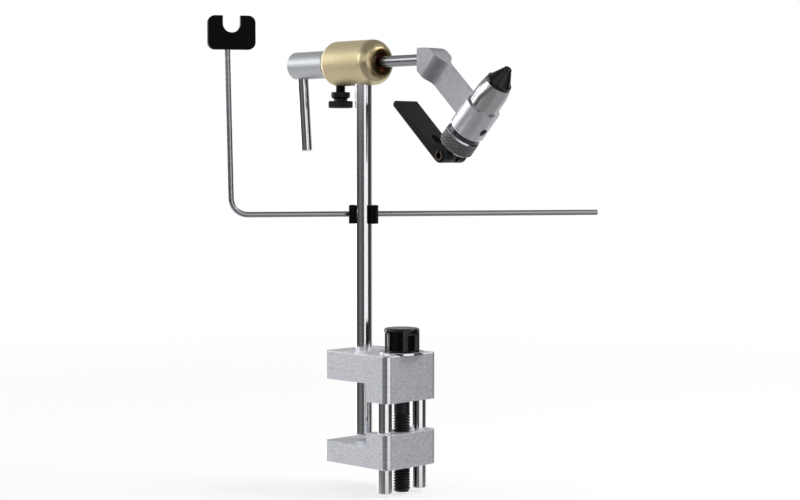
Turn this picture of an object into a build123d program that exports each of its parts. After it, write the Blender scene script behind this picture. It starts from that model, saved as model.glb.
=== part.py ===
"""Rotary fly tying vise with a table clamp, a collet jaw and a bobbin cradle.

Millimetres, +Z up. The origin is where the stem's axis meets the table face of the upper clamp jaw.
+X runs from the stem towards the hook jaws along the rotary axis.
"""

import os
from math import cos, radians, sin, tan

from build123d import *

# Clearances and small edges
press_gap = 0.02  # pressed or glued pieces, radial
running_gap = 0.06  # turning and sliding fits, radial
face_gap = 0.1  # flat faces that move past each other
edge_break = 0.4

# Table clamp
clamp_length = 52.0
clamp_width = 40.0
clamp_corner = 3.9
stem_inset = 13.0  # from the mouth of the clamp to the stem's axis
throat_depth = 35.5
upper_lip = 15.9
upper_heel = 26.2
lower_lip = 11.8
lower_heel = 19.7
throat_height = 35.6  # between the two table faces
guide_rod_dia = 8.2
guide_rod_spacing = 27.0
guide_rod_seat = 18.0  # depth pressed into the upper jaw
guide_rod_tail = 13.9  # length that shows under the lower jaw
clamp_screw_dia = 9.5
clamp_screw_shank_dia = 8.8
clamp_screw_shank_show = 7.5  # plain shank that shows under the upper jaw
clamp_screw_tail = 14.3
knob_washer_dia = 25.4
knob_washer_thick = 1.4
knob_dia = 19.8
knob_height = 13.0
knob_flutes = 3
knob_flute_dia = 21.0
knob_flute_depth = 2.4
knob_clock = 0.0  # degrees round the screw
knob_crown = 2.2  # plain band above the flutes
knob_bevel = 1.2
knob_cap = 2.6  # solid top over the end of the screw

# Stem and bobbin cradle
stem_dia = 9.525
stem_foot_gap = 2.6  # foot of the stem above the lower table face
stem_chamfer = 0.8
rod_height = 93.1
rod_bearing = 57.0  # degrees from +X, seen from above
rod_dia = 3.175
rod_wall = 1.3  # clip wall between the stem and the rod
rod_reach = 141.6  # stem's axis to the free end
rod_bend_reach = 74.6  # stem's axis to the upright's foot
rod_bend_radius = 9.5
rod_upright = 101.0  # horizontal run to the end of the upright
rod_lean = 1.15  # degrees that the upright leans outwards
clip_outer_dia = 16.8
clip_height = 10.4
clip_mouth = 6.2
clip_back_wall = 2.2
clip_back_width = 11.0
cradle_width = 26.8
cradle_height = 19.0
cradle_thick = 5.0
cradle_offset = 2.5  # middle of the cradle from the upright, towards the stem
cradle_socket = 8.0
cradle_corner = 4.0
cradle_notch_width = 10.0
cradle_notch_depth = 9.5

# Rotary head
axis_height = 179.1
housing_dia = 25.6
housing_rear = -24.5
housing_front = 15.0
housing_round = 4.4
housing_nose = 7.0
stem_seat = 7.2  # depth of the stem in the housing
bush_dia = 10.4
bush_length = 10.0
bush_recess = 2.4
spindle_dia = 6.35
spindle_rear = -44.0
hub_dia = 15.9
hub_rear = -57.3
hub_chamfer = 1.0
thrust_washer_dia = 16.6
thrust_washer_thick = 2.4
crank_x = -52.0
crank_dia = 6.35
crank_reach = 50.0
crank_root = 3.0  # rod past the rotary axis, inside the hub
crank_clock = 4.0  # degrees round the rotary axis
crank_chamfer = 0.7
grub_dia = 4.0
grub_socket = 2.0
hex_sides = 6
grub_length = 4.4
drag_x = -19.0
drag_thread_dia = 5.8
drag_thread_show = 3.4
drag_collar_dia = 10.9
drag_collar_thick = 2.9
drag_neck_dia = 7.7
drag_neck_length = 2.2
drag_head_dia = 14.0
drag_head_thick = 4.0
drag_head_chamfer = 0.5
friction_pad_thick = 1.6

# Jaw arm, measured along (e) and across (n) the slanted arm from the rotary axis
jaw_tilt = 47.0  # degrees of the hook jaws above the rotary axis
arm_rear_x = 48.5
arm_top = 6.2
arm_low = 28.5
arm_depth = 15.3
arm_thick = 12.7
web_thick = 3.2
scoop_start = 43.5
scoop_run = 8.8
scoop_flat = 21.1
arm_rear_round = 3.4
arm_elbow_round = 10.0
spindle_seat = 11.0
collet_e = 85.0
boss_dia = 20.0
boss_drop = 2.1  # boss below the arm's lower edge
boss_round = 0.8

# Collet
sleeve_dia = 17.0
sleeve_show = 15.5
sleeve_inset = 1.0
sleeve_floor = 6.0
sleeve_bore = 10.6
sleeve_nose_dia = 14.8
sleeve_nose_length = 9.0
sleeve_screw_dia = 4.4
sleeve_screw_rise = 6.8
sleeve_screw_sink = 1.0
sleeve_screw_bite = 1.4  # depth of the screw's point in the sleeve
jaw_shank_dia = 9.8
jaw_shoulder_dia = 14.3
jaw_shoulder_thick = 1.5
jaw_cone_dia = 13.3
jaw_cone_length = 9.3
jaw_tip_dia = 4.6
jaw_tip_round = 1.2
jaw_slit = 0.4
drawbar_dia = 5.0
drawbar_head_dia = 9.2
drawbar_head_thick = 2.5
drawbar_tail_round = 3.9
spring_wire = 0.9
spring_turns = 5
lock_ring_dia = 18.0
lock_ring_thick = 2.9
collar_dia = 19.7
collar_length = 9.0
collar_chamfer = 0.7

# Cam lever
pin_dia = 5.6
pin_wall = 1.1
pin_slot = 1.3
pin_clock = 125.0  # degrees of the pin's slot from the arm's run
pin_drop = 7.0  # pin's axis under the collar
pin_show = 0.6  # pin past each cheek
cam_dia = 10.8
cam_throw = 1.6
cam_phase = 20.0  # degrees past the cam's high point
lever_length = 45.4
lever_width = 16.0
lever_thick = 3.8
lever_pin_inset = 3.9  # lever's outer face to the pin's axis
lever_corner = 1.6
fork_reach = 14.0  # pin's axis to the end of the fork's slot

os.makedirs("parts", exist_ok=True)


def save(part, name):
    part.label = name
    export_step(part, f"parts/{name}.step")


# Shared places of the clamp
mouth_x = -stem_inset
back_x = clamp_length - stem_inset
heel_x = throat_depth - stem_inset
screw_x = (heel_x + back_x) / 2
upper_heel_low = upper_lip - upper_heel
lower_table = -throat_height
lower_base = lower_table - lower_lip
lower_heel_top = lower_base + lower_heel
rod_spots = [(screw_x, -guide_rod_spacing / 2), (screw_x, guide_rod_spacing / 2)]
stem_foot = lower_table + stem_foot_gap
stem_top = axis_height - housing_dia / 2 + stem_seat

# Upper clamp jaw: an L-shaped block with the table face at z = 0
with BuildPart() as upper_jaw:
    with BuildSketch(Plane.XZ):
        with BuildLine():
            Polyline(
                (mouth_x, 0),
                (heel_x, 0),
                (heel_x, upper_heel_low),
                (back_x, upper_heel_low),
                (back_x, upper_lip),
                (mouth_x, upper_lip),
                close=True,
            )
        make_face()
    extrude(amount=clamp_width / 2, both=True)
    uprights = upper_jaw.edges().filter_by(Axis.Z).group_by(Axis.X)
    fillet(uprights[0] + uprights[-1], clamp_corner)
    chamfer(upper_jaw.faces().sort_by(Axis.Z)[-1].edges(), edge_break)
    with BuildSketch(Plane.XY.offset(upper_lip)):
        Circle(stem_dia / 2 + running_gap)
        with Locations((screw_x, 0)):
            Circle(clamp_screw_shank_dia / 2 + running_gap)
    extrude(amount=-upper_heel, mode=Mode.SUBTRACT)
    with BuildSketch(Plane.XY.offset(upper_heel_low)):
        with Locations(*rod_spots):
            Circle(guide_rod_dia / 2 + press_gap)
    extrude(amount=guide_rod_seat, mode=Mode.SUBTRACT)
    with BuildSketch(Plane.YZ.offset(mouth_x)):
        with Locations((0, upper_lip / 2)):
            Circle(grub_dia / 2 + press_gap)
    extrude(amount=stem_inset, mode=Mode.SUBTRACT)
save(upper_jaw.part, "upper_jaw")

# Lower clamp jaw: the matching block, threaded for the screw and bored for the rods
with BuildPart() as lower_jaw:
    with BuildSketch(Plane.XZ):
        with BuildLine():
            Polyline(
                (mouth_x, lower_table),
                (heel_x, lower_table),
                (heel_x, lower_heel_top),
                (back_x, lower_heel_top),
                (back_x, lower_base),
                (mouth_x, lower_base),
                close=True,
            )
        make_face()
    extrude(amount=clamp_width / 2, both=True)
    uprights = lower_jaw.edges().filter_by(Axis.Z).group_by(Axis.X)
    fillet(uprights[0] + uprights[-1], clamp_corner)
    chamfer(lower_jaw.faces().sort_by(Axis.Z)[0].edges(), edge_break)
    with BuildSketch(Plane.XY.offset(lower_base)):
        with Locations((screw_x, 0)):
            Circle(clamp_screw_dia / 2 + running_gap)
        with Locations(*rod_spots):
            Circle(guide_rod_dia / 2 + running_gap)
    extrude(amount=lower_heel, mode=Mode.SUBTRACT)
save(lower_jaw.part, "lower_jaw")

# Two guide rods, pressed into the upper jaw
guide_rod_low = lower_base - guide_rod_tail
with BuildPart() as guide_rods:
    with BuildSketch(Plane.XY.offset(guide_rod_low)):
        with Locations(*rod_spots):
            Circle(guide_rod_dia / 2)
    extrude(amount=upper_heel_low + guide_rod_seat - guide_rod_low)
    chamfer(guide_rods.edges().group_by(Axis.Z)[0], edge_break)
save(guide_rods.part, "guide_rods")

# Clamp screw: threaded below, plain where it turns in the upper jaw, its end held in the knob
knob_base = upper_lip + knob_washer_thick
screw_top = knob_base + knob_height - knob_cap
screw_low = lower_base - clamp_screw_tail
shank_low = upper_heel_low - clamp_screw_shank_show
with BuildPart() as clamp_screw:
    with BuildSketch(Plane.XY.offset(screw_low)):
        with Locations((screw_x, 0)):
            Circle(clamp_screw_dia / 2)
    extrude(amount=shank_low - screw_low)
    chamfer(clamp_screw.edges().group_by(Axis.Z)[0], edge_break)
    with BuildSketch(Plane.XY.offset(shank_low)):
        with Locations((screw_x, 0)):
            Circle(clamp_screw_shank_dia / 2)
    extrude(amount=screw_top - shank_low)
save(clamp_screw.part, "clamp_screw")

# Steel washer under the knob
with BuildPart() as knob_washer:
    with BuildSketch(Plane.XY.offset(upper_lip)):
        with Locations((screw_x, 0)):
            Circle(knob_washer_dia / 2)
            Circle(clamp_screw_shank_dia / 2 + press_gap, mode=Mode.SUBTRACT)
    extrude(amount=knob_washer_thick)
    chamfer(knob_washer.edges().group_by(Axis.Z)[-1].sort_by(SortBy.RADIUS)[-1], edge_break)
save(knob_washer.part, "knob_washer")

# Clamp knob: a bevelled crown over a fluted grip
knob_plane = Plane((screw_x, 0, knob_base))
flute_ring = knob_dia / 2 + knob_flute_dia / 2 - knob_flute_depth
with BuildPart() as clamp_knob:
    with BuildSketch(knob_plane):
        Circle(knob_dia / 2)
    extrude(amount=knob_height)
    chamfer(clamp_knob.edges().group_by(Axis.Z)[-1], knob_bevel)
    with BuildSketch(knob_plane):
        with PolarLocations(flute_ring, knob_flutes, start_angle=knob_clock):
            Circle(knob_flute_dia / 2)
    extrude(amount=knob_height - knob_crown, mode=Mode.SUBTRACT)
    with BuildSketch(knob_plane):
        Circle(clamp_screw_shank_dia / 2 + press_gap)
    extrude(amount=knob_height - knob_cap, mode=Mode.SUBTRACT)
save(clamp_knob.part, "clamp_knob")

# Grub screw in the mouth end that holds the stem's height
with BuildPart() as stem_set_screw:
    with BuildSketch(Plane.YZ.offset(-stem_dia / 2 - face_gap)):
        with Locations((0, upper_lip / 2)):
            Circle(grub_dia / 2)
    extrude(amount=-grub_length)
    with BuildSketch(Plane.YZ.offset(-stem_dia / 2 - face_gap - grub_length)):
        with Locations((0, upper_lip / 2)):
            RegularPolygon(grub_socket / 2, hex_sides)
    extrude(amount=grub_length / 2, mode=Mode.SUBTRACT)
save(stem_set_screw.part, "stem_set_screw")

# Stem
with BuildPart() as stem:
    with BuildSketch(Plane.XY.offset(stem_foot)):
        Circle(stem_dia / 2)
    extrude(amount=stem_top - stem_foot)
    chamfer(stem.edges().filter_by(GeomType.CIRCLE), stem_chamfer)
save(stem.part, "stem")

# Shared places of the bobbin cradle: x along the rod, y up, in the upright plane behind the stem
rod_along = Vector(cos(radians(rod_bearing)), sin(radians(rod_bearing)), 0)
rod_behind = Vector(-rod_along.Y, rod_along.X, 0)
rod_offset = stem_dia / 2 + running_gap + rod_wall + rod_dia / 2
rod_plane = Plane(rod_behind * rod_offset + Vector(0, 0, rod_height), x_dir=rod_along, z_dir=-rod_behind)
clip_plane = Plane((0, 0, rod_height - clip_height / 2), x_dir=rod_along, z_dir=(0, 0, 1))

# Sprung clip that snaps round the stem, with the rod through its back
clip_back = rod_offset + rod_dia / 2 + clip_back_wall
with BuildPart() as rod_clip:
    with BuildSketch(clip_plane):
        Circle(clip_outer_dia / 2)
        with Locations((0, clip_back / 2)):
            Rectangle(clip_back_width, clip_back)
        Circle(stem_dia / 2 + running_gap, mode=Mode.SUBTRACT)
        with Locations((0, -clip_outer_dia / 2)):
            Rectangle(clip_mouth, clip_outer_dia, mode=Mode.SUBTRACT)
    extrude(amount=clip_height)
    with BuildSketch(Plane(rod_plane.origin, z_dir=rod_along)):
        Circle(rod_dia / 2 + running_gap)
    extrude(amount=clip_outer_dia, both=True, mode=Mode.SUBTRACT)
save(rod_clip.part, "rod_clip")

# Bent cradle rod, its upright leaning a little outwards
upright_top = -rod_bend_reach - rod_upright * tan(radians(rod_lean))
upright_way = rod_along * -sin(radians(rod_lean)) + Vector(0, 0, cos(radians(rod_lean)))
with BuildPart() as cradle_rod:
    with BuildLine(rod_plane) as rod_path:
        FilletPolyline(
            (rod_reach, 0), (-rod_bend_reach, 0), (upright_top, rod_upright), radius=rod_bend_radius
        )
    with BuildSketch(Plane(rod_path.line @ 0, z_dir=rod_path.line % 0)):
        Circle(rod_dia / 2)
    sweep()
save(cradle_rod.part, "cradle_rod")

# Plain rounded cradle with a thread notch, socketed on the upright
cradle_low = rod_upright - cradle_socket
cradle_mid = upright_top + cradle_offset
with BuildPart() as bobbin_cradle:
    with BuildSketch(rod_plane):
        with Locations((cradle_mid, cradle_low + cradle_height / 2)):
            RectangleRounded(cradle_width, cradle_height, cradle_corner)
        with Locations((cradle_mid, cradle_low + cradle_height)):
            SlotOverall(2 * cradle_notch_depth, cradle_notch_width, rotation=90, mode=Mode.SUBTRACT)
    extrude(amount=cradle_thick / 2, both=True)
    socket_end = rod_plane.from_local_coords((upright_top, rod_upright, 0)) + upright_way * face_gap
    with BuildSketch(Plane(socket_end, z_dir=upright_way)):
        Circle(rod_dia / 2 + running_gap)
    extrude(amount=-cradle_height, mode=Mode.SUBTRACT)
save(bobbin_cradle.part, "bobbin_cradle")

# Shared places of the rotary head
rotary_axis = Axis((0, 0, axis_height), (1, 0, 0))
thrust_rear = housing_rear - thrust_washer_thick
hub_front = thrust_rear - face_gap
bush_mid_rear = housing_front - bush_recess - bush_length
rear_bush_rear = -stem_dia / 2 - bush_length
pad_top = axis_height - spindle_dia / 2 - face_gap
pad_low = pad_top - friction_pad_thick
grub_z = axis_height - housing_dia / 2 + stem_seat / 2
head_grub_outer = stem_dia / 2 + face_gap + grub_length


def on_axis(x):
    """The plane square to the rotary axis at x."""
    return Plane((x, 0, axis_height), x_dir=(0, 1, 0), z_dir=(1, 0, 0))


# Brass housing on top of the stem
with BuildPart() as housing:
    with BuildSketch(on_axis(housing_rear)):
        Circle(housing_dia / 2)
    extrude(amount=housing_front - housing_rear)
    fillet(housing.edges().filter_by(GeomType.CIRCLE).sort_by(Axis.X)[:1], housing_round)
    fillet(housing.edges().filter_by(GeomType.CIRCLE).sort_by(Axis.X)[-1:], housing_nose)
    with BuildSketch(on_axis(housing_rear)):
        Circle(spindle_dia / 2 + running_gap)
    extrude(amount=housing_front - housing_rear, mode=Mode.SUBTRACT)
    with BuildSketch(on_axis(rear_bush_rear)):
        Circle(bush_dia / 2 + press_gap)
    extrude(amount=housing_front - rear_bush_rear, mode=Mode.SUBTRACT)
    with BuildSketch(Plane.XY.offset(stem_top + face_gap)):
        Circle(stem_dia / 2 + running_gap)
    extrude(amount=-housing_dia, mode=Mode.SUBTRACT)
    with BuildSketch(Plane.XY.offset(axis_height)):
        with Locations((drag_x, 0)):
            Circle(drag_thread_dia / 2 + running_gap)
    extrude(amount=-housing_dia, mode=Mode.SUBTRACT)
    with BuildSketch(Plane.XZ):
        with Locations((0, grub_z)):
            Circle(grub_dia / 2 + press_gap)
    extrude(amount=-housing_dia, mode=Mode.SUBTRACT)
save(housing.part, "housing")

# Bronze bushes that carry the spindle
with BuildPart() as front_bush:
    with BuildSketch(on_axis(bush_mid_rear)):
        Circle(bush_dia / 2)
    extrude(amount=bush_length)
    with BuildSketch(on_axis(bush_mid_rear)):
        Circle(spindle_dia / 2 + running_gap)
    extrude(amount=bush_length, mode=Mode.SUBTRACT)
save(front_bush.part, "front_bush")

with BuildPart() as rear_bush:
    with BuildSketch(on_axis(rear_bush_rear)):
        Circle(bush_dia / 2)
    extrude(amount=bush_length)
    with BuildSketch(on_axis(rear_bush_rear)):
        Circle(spindle_dia / 2 + running_gap)
    extrude(amount=bush_length, mode=Mode.SUBTRACT)
save(rear_bush.part, "rear_bush")

# White thrust washer between the hub and the housing
with BuildPart() as thrust_washer:
    with BuildSketch(on_axis(thrust_rear)):
        Circle(thrust_washer_dia / 2)
    extrude(amount=housing_rear - thrust_rear)
    with BuildSketch(on_axis(thrust_rear)):
        Circle(spindle_dia / 2 + running_gap)
    extrude(amount=housing_rear - thrust_rear, mode=Mode.SUBTRACT)
save(thrust_washer.part, "thrust_washer")

# Grub screw that holds the housing on the stem, at the back
with BuildPart() as housing_set_screw:
    with BuildSketch(Plane.XZ.offset(-stem_dia / 2 - face_gap)):
        with Locations((0, grub_z)):
            Circle(grub_dia / 2)
    extrude(amount=-grub_length)
    with BuildSketch(Plane.XZ.offset(-head_grub_outer)):
        with Locations((0, grub_z)):
            RegularPolygon(grub_socket / 2, hex_sides)
    extrude(amount=grub_length / 2, mode=Mode.SUBTRACT)
save(housing_set_screw.part, "housing_set_screw")

# Friction pad that the drag screw pushes against the spindle
with BuildPart() as friction_pad:
    with BuildSketch(Plane.XY.offset(pad_low)):
        with Locations((drag_x, 0)):
            Circle(drag_thread_dia / 2)
    extrude(amount=friction_pad_thick)
save(friction_pad.part, "friction_pad")

# Drag thumb screw: thread, collar, waisted neck and knurled head
drag_collar_top = axis_height - housing_dia / 2 - drag_thread_show
drag_collar_low = drag_collar_top - drag_collar_thick
drag_head_top = drag_collar_low - drag_neck_length
drag_head_low = drag_head_top - drag_head_thick
with BuildPart() as drag_screw:
    with BuildSketch(Plane.XZ):
        with BuildLine():
            Polyline(
                (drag_x, pad_low - face_gap),
                (drag_x + drag_thread_dia / 2, pad_low - face_gap),
                (drag_x + drag_thread_dia / 2, drag_collar_top),
                (drag_x + drag_collar_dia / 2, drag_collar_top),
                (drag_x + drag_collar_dia / 2, drag_collar_low),
                (drag_x + drag_neck_dia / 2, drag_collar_low - drag_neck_length / 2),
                (drag_x + drag_neck_dia / 2, drag_head_top),
                (drag_x + drag_head_dia / 2, drag_head_top),
                (drag_x + drag_head_dia / 2, drag_head_low + drag_head_chamfer),
                (drag_x + drag_head_dia / 2 - drag_head_chamfer, drag_head_low),
                (drag_x, drag_head_low),
                close=True,
            )
        make_face()
    revolve(axis=Axis((drag_x, 0, 0), (0, 0, 1)))
save(drag_screw.part, "drag_screw")

# Spindle
spindle_front = arm_rear_x + spindle_seat
with BuildPart() as spindle:
    with BuildSketch(on_axis(spindle_rear)):
        Circle(spindle_dia / 2)
    extrude(amount=spindle_front - spindle_rear)
    chamfer(spindle.edges().filter_by(GeomType.CIRCLE), edge_break)
save(spindle.part, "spindle")

# Turned hub, bored for the spindle and cross-drilled for the crank
hub_grub_x = (spindle_rear + hub_front) / 2
crank_down = Vector(0, sin(radians(crank_clock)), -cos(radians(crank_clock)))
crank_plane = Plane((crank_x, 0, axis_height), x_dir=(1, 0, 0), z_dir=crank_down)
with BuildPart() as hub:
    with BuildSketch(on_axis(hub_rear)):
        Circle(hub_dia / 2)
    extrude(amount=hub_front - hub_rear)
    chamfer(hub.edges().filter_by(GeomType.CIRCLE), hub_chamfer)
    with BuildSketch(on_axis(spindle_rear - face_gap)):
        Circle(spindle_dia / 2 + press_gap)
    extrude(amount=hub_front - (spindle_rear - face_gap), mode=Mode.SUBTRACT)
    with BuildSketch(crank_plane.offset(-crank_root - face_gap)):
        Circle(crank_dia / 2 + press_gap)
    extrude(amount=hub_dia, mode=Mode.SUBTRACT)
    with BuildSketch(Plane.XZ):
        with Locations((hub_grub_x, axis_height)):
            Circle(grub_dia / 2 + press_gap)
    extrude(amount=-hub_dia, mode=Mode.SUBTRACT)
save(hub.part, "hub")

# Grub screw that locks the hub to the spindle
with BuildPart() as hub_set_screw:
    with BuildSketch(Plane.XZ.offset(-spindle_dia / 2 - face_gap)):
        with Locations((hub_grub_x, axis_height)):
            Circle(grub_dia / 2)
    extrude(amount=-grub_length)
    with BuildSketch(Plane.XZ.offset(-spindle_dia / 2 - face_gap - grub_length)):
        with Locations((hub_grub_x, axis_height)):
            RegularPolygon(grub_socket / 2, hex_sides)
    extrude(amount=grub_length / 2, mode=Mode.SUBTRACT)
save(hub_set_screw.part, "hub_set_screw")

# Crank handle
with BuildPart() as crank_handle:
    with BuildSketch(crank_plane.offset(-crank_root)):
        Circle(crank_dia / 2)
    extrude(amount=crank_root + crank_reach)
    chamfer(crank_handle.edges().filter_by(GeomType.CIRCLE), crank_chamfer)
save(crank_handle.part, "crank_handle")

# Shared places of the slanted arm: e runs down the arm, n runs up the hook jaws
arm_cos = sin(radians(jaw_tilt))
arm_sin = cos(radians(jaw_tilt))
along_arm = Vector(arm_cos, 0, -arm_sin)
up_jaws = Vector(arm_sin, 0, arm_cos)
arm_plane = Plane((0, 0, axis_height), x_dir=along_arm, z_dir=(0, -1, 0))
scoop_plane = Plane((0, 0, axis_height), x_dir=along_arm, z_dir=up_jaws)
arm_high = arm_low + arm_depth
boss_low = arm_low - boss_drop
sleeve_top = arm_high + sleeve_show
sleeve_low = boss_low + sleeve_inset
lock_ring_low = boss_low - lock_ring_thick
collar_top = lock_ring_low - face_gap
collar_low = collar_top - collar_length
pin_n = collar_low - pin_drop
collet_axis = Axis(arm_plane.from_local_coords((collet_e, 0, 0)), up_jaws)


def on_arm(x, z):
    """Arm coordinates of a point given along and above the rotary axis."""
    return (x * arm_cos - z * arm_sin, x * arm_sin + z * arm_cos)


def across_jaws(n):
    """The plane square to the hook jaws at height n."""
    return Plane(arm_plane.from_local_coords((collet_e, n, 0)), x_dir=(0, 1, 0), z_dir=up_jaws)


# Jaw arm: a block on the spindle, scooped on both sides to a thin web, and a round boss
arm_rear_low = (arm_low - arm_rear_x * arm_sin) / arm_cos
elbow_x = (arm_high - arm_top * arm_cos) / arm_sin
scoop_end = scoop_start + scoop_run
scoop_mid = scoop_start + scoop_run / 2
scoop_depth = (arm_thick - web_thick) / 2
scoop_stop = scoop_end + scoop_flat
arm_grub_x = arm_rear_x + spindle_seat / 2
arm_grub_length = arm_thick / 2 - spindle_dia / 2 - 2 * face_gap
with BuildPart() as jaw_arm:
    with BuildSketch(arm_plane) as arm_outline:
        with BuildLine():
            Polyline(
                on_arm(arm_rear_x, arm_rear_low),
                on_arm(arm_rear_x, arm_top),
                on_arm(elbow_x, arm_top),
                (collet_e, arm_high),
                (collet_e, arm_low),
                close=True,
            )
        make_face()
        corners = arm_outline.vertices()
        rear_corners = corners.sort_by_distance(on_arm(arm_rear_x, arm_top))[:1]
        rear_corners += corners.sort_by_distance(on_arm(arm_rear_x, arm_rear_low))[:1]
        elbow_corner = corners.sort_by_distance(on_arm(elbow_x, arm_top))[:1]
        fillet(elbow_corner, arm_elbow_round)
        fillet(rear_corners, arm_rear_round)
    extrude(amount=arm_thick / 2, both=True)
    with BuildSketch(scoop_plane):
        with BuildLine():
            Bezier(
                (scoop_start, -arm_thick / 2),
                (scoop_mid, -arm_thick / 2),
                (scoop_mid, -web_thick / 2),
                (scoop_end, -web_thick / 2),
            )
            Line((scoop_end, -web_thick / 2), (scoop_stop, -web_thick / 2))
            TangentArc(
                (scoop_stop, -web_thick / 2), (scoop_stop + scoop_depth, -arm_thick / 2), tangent=(1, 0)
            )
            Polyline(
                (scoop_stop + scoop_depth, -arm_thick / 2),
                (scoop_stop + scoop_depth, -arm_thick),
                (scoop_start, -arm_thick),
                (scoop_start, -arm_thick / 2),
            )
        make_face()
        mirror(about=Plane.XZ)
    extrude(amount=arm_high + arm_thick, both=True, mode=Mode.SUBTRACT)
    with BuildSketch(across_jaws(boss_low)):
        Circle(boss_dia / 2)
    extrude(amount=arm_high - boss_low)
    rims = jaw_arm.edges().filter_by(GeomType.CIRCLE)
    fillet(rims.sort_by_distance(collet_axis.position + up_jaws * boss_low)[0], boss_round)
    with BuildSketch(across_jaws(boss_low)):
        Circle(sleeve_dia / 2 + press_gap)
    extrude(amount=arm_high - boss_low, mode=Mode.SUBTRACT)
    with BuildSketch(on_axis(arm_rear_x)):
        Circle(spindle_dia / 2 + press_gap)
    extrude(amount=spindle_front + face_gap - arm_rear_x, mode=Mode.SUBTRACT)
    with BuildSketch(Plane.XZ):
        with Locations((arm_grub_x, axis_height)):
            Circle(grub_dia / 2 + press_gap)
    extrude(amount=-arm_thick, mode=Mode.SUBTRACT)
    screw_foot = arm_plane.from_local_coords((collet_e, boss_low + sleeve_screw_rise, 0))
    with BuildSketch(Plane(screw_foot, z_dir=along_arm)):
        Circle(sleeve_screw_dia / 2 + press_gap)
    extrude(amount=boss_dia, mode=Mode.SUBTRACT)
save(jaw_arm.part, "jaw_arm")

# Grub screw that locks the arm to the spindle, at the back
with BuildPart() as arm_set_screw:
    with BuildSketch(Plane.XZ.offset(-spindle_dia / 2 - face_gap)):
        with Locations((arm_grub_x, axis_height)):
            Circle(grub_dia / 2)
    extrude(amount=-arm_grub_length)
    with BuildSketch(Plane.XZ.offset(-spindle_dia / 2 - face_gap - arm_grub_length)):
        with Locations((arm_grub_x, axis_height)):
            RegularPolygon(grub_socket / 2, hex_sides)
    extrude(amount=arm_grub_length / 2, mode=Mode.SUBTRACT)
save(arm_set_screw.part, "arm_set_screw")

# Collet sleeve with an ogive nose
nose_start = sleeve_top - sleeve_nose_length
screw_point = sleeve_dia / 2 - sleeve_screw_bite
screw_face = boss_dia / 2 - sleeve_screw_sink
with BuildPart() as collet_sleeve:
    with BuildSketch(arm_plane):
        with BuildLine():
            Polyline(
                (collet_e + sleeve_nose_dia / 2, sleeve_top),
                (collet_e + sleeve_bore / 2, sleeve_top),
                (collet_e + sleeve_bore / 2, sleeve_low + sleeve_floor),
                (collet_e + drawbar_dia / 2 + running_gap, sleeve_low + sleeve_floor),
                (collet_e + drawbar_dia / 2 + running_gap, sleeve_low),
                (collet_e + sleeve_dia / 2, sleeve_low),
                (collet_e + sleeve_dia / 2, nose_start),
            )
            TangentArc(
                (collet_e + sleeve_dia / 2, nose_start),
                (collet_e + sleeve_nose_dia / 2, sleeve_top),
                tangent=(0, 1),
            )
        make_face()
    revolve(axis=collet_axis)
    with BuildSketch(Plane(screw_foot, z_dir=along_arm).offset(screw_point - face_gap)):
        Circle(sleeve_screw_dia / 2 + press_gap)
    extrude(amount=sleeve_dia / 2, mode=Mode.SUBTRACT)
save(collet_sleeve.part, "collet_sleeve")

# Set screw that holds the sleeve in the boss
with BuildPart() as sleeve_set_screw:
    with BuildSketch(Plane(screw_foot, z_dir=along_arm).offset(screw_point)):
        Circle(sleeve_screw_dia / 2)
    extrude(amount=screw_face - screw_point)
    with BuildSketch(Plane(screw_foot, z_dir=along_arm).offset(screw_face)):
        RegularPolygon(grub_socket / 2, hex_sides)
    extrude(amount=-sleeve_screw_bite, mode=Mode.SUBTRACT)
save(sleeve_set_screw.part, "sleeve_set_screw")

# Dark spacer ring under the boss
with BuildPart() as lock_ring:
    with BuildSketch(across_jaws(lock_ring_low)):
        Circle(lock_ring_dia / 2)
        Circle(drawbar_dia / 2 + running_gap, mode=Mode.SUBTRACT)
    extrude(amount=lock_ring_thick)
save(lock_ring.part, "lock_ring")

# Knurled adjusting collar
with BuildPart() as adjusting_collar:
    with BuildSketch(across_jaws(collar_low)):
        Circle(collar_dia / 2)
    extrude(amount=collar_length)
    chamfer(adjusting_collar.edges().filter_by(GeomType.CIRCLE), collar_chamfer)
    with BuildSketch(across_jaws(collar_low)):
        Circle(drawbar_dia / 2 + running_gap)
    extrude(amount=collar_length, mode=Mode.SUBTRACT)
save(adjusting_collar.part, "adjusting_collar")

# Hook jaws: a split round cone on a shank, with a shoulder on the sleeve's nose
shoulder_low = sleeve_top + face_gap
shoulder_top = shoulder_low + jaw_shoulder_thick
jaw_tip = shoulder_top + jaw_cone_length
drawbar_top = sleeve_top - sleeve_nose_length - drawbar_head_thick
shank_foot = drawbar_top + face_gap
tip_edge = jaw_tip_dia / 2
with BuildPart() as jaw_front:
    with BuildSketch(arm_plane):
        with BuildLine():
            Polyline(
                (collet_e + tip_edge - jaw_tip_round, jaw_tip),
                (collet_e, jaw_tip),
                (collet_e, shank_foot),
                (collet_e + jaw_shank_dia / 2, shank_foot),
                (collet_e + jaw_shank_dia / 2, shoulder_low),
                (collet_e + jaw_shoulder_dia / 2, shoulder_low),
                (collet_e + jaw_shoulder_dia / 2, shoulder_top),
                (collet_e + jaw_cone_dia / 2, shoulder_top),
                (collet_e + tip_edge, jaw_tip - jaw_tip_round),
            )
            TangentArc(
                (collet_e + tip_edge, jaw_tip - jaw_tip_round),
                (collet_e + tip_edge - jaw_tip_round, jaw_tip),
                tangent=(0, 1),
            )
        make_face()
    revolve(axis=collet_axis)
    split(bisect_by=Plane.XZ.offset(jaw_slit / 2), keep=Keep.TOP)
save(jaw_front.part, "jaw_front")

with BuildPart() as jaw_rear:
    mirror(jaw_front.part, about=Plane.XZ)
save(jaw_rear.part, "jaw_rear")

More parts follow.
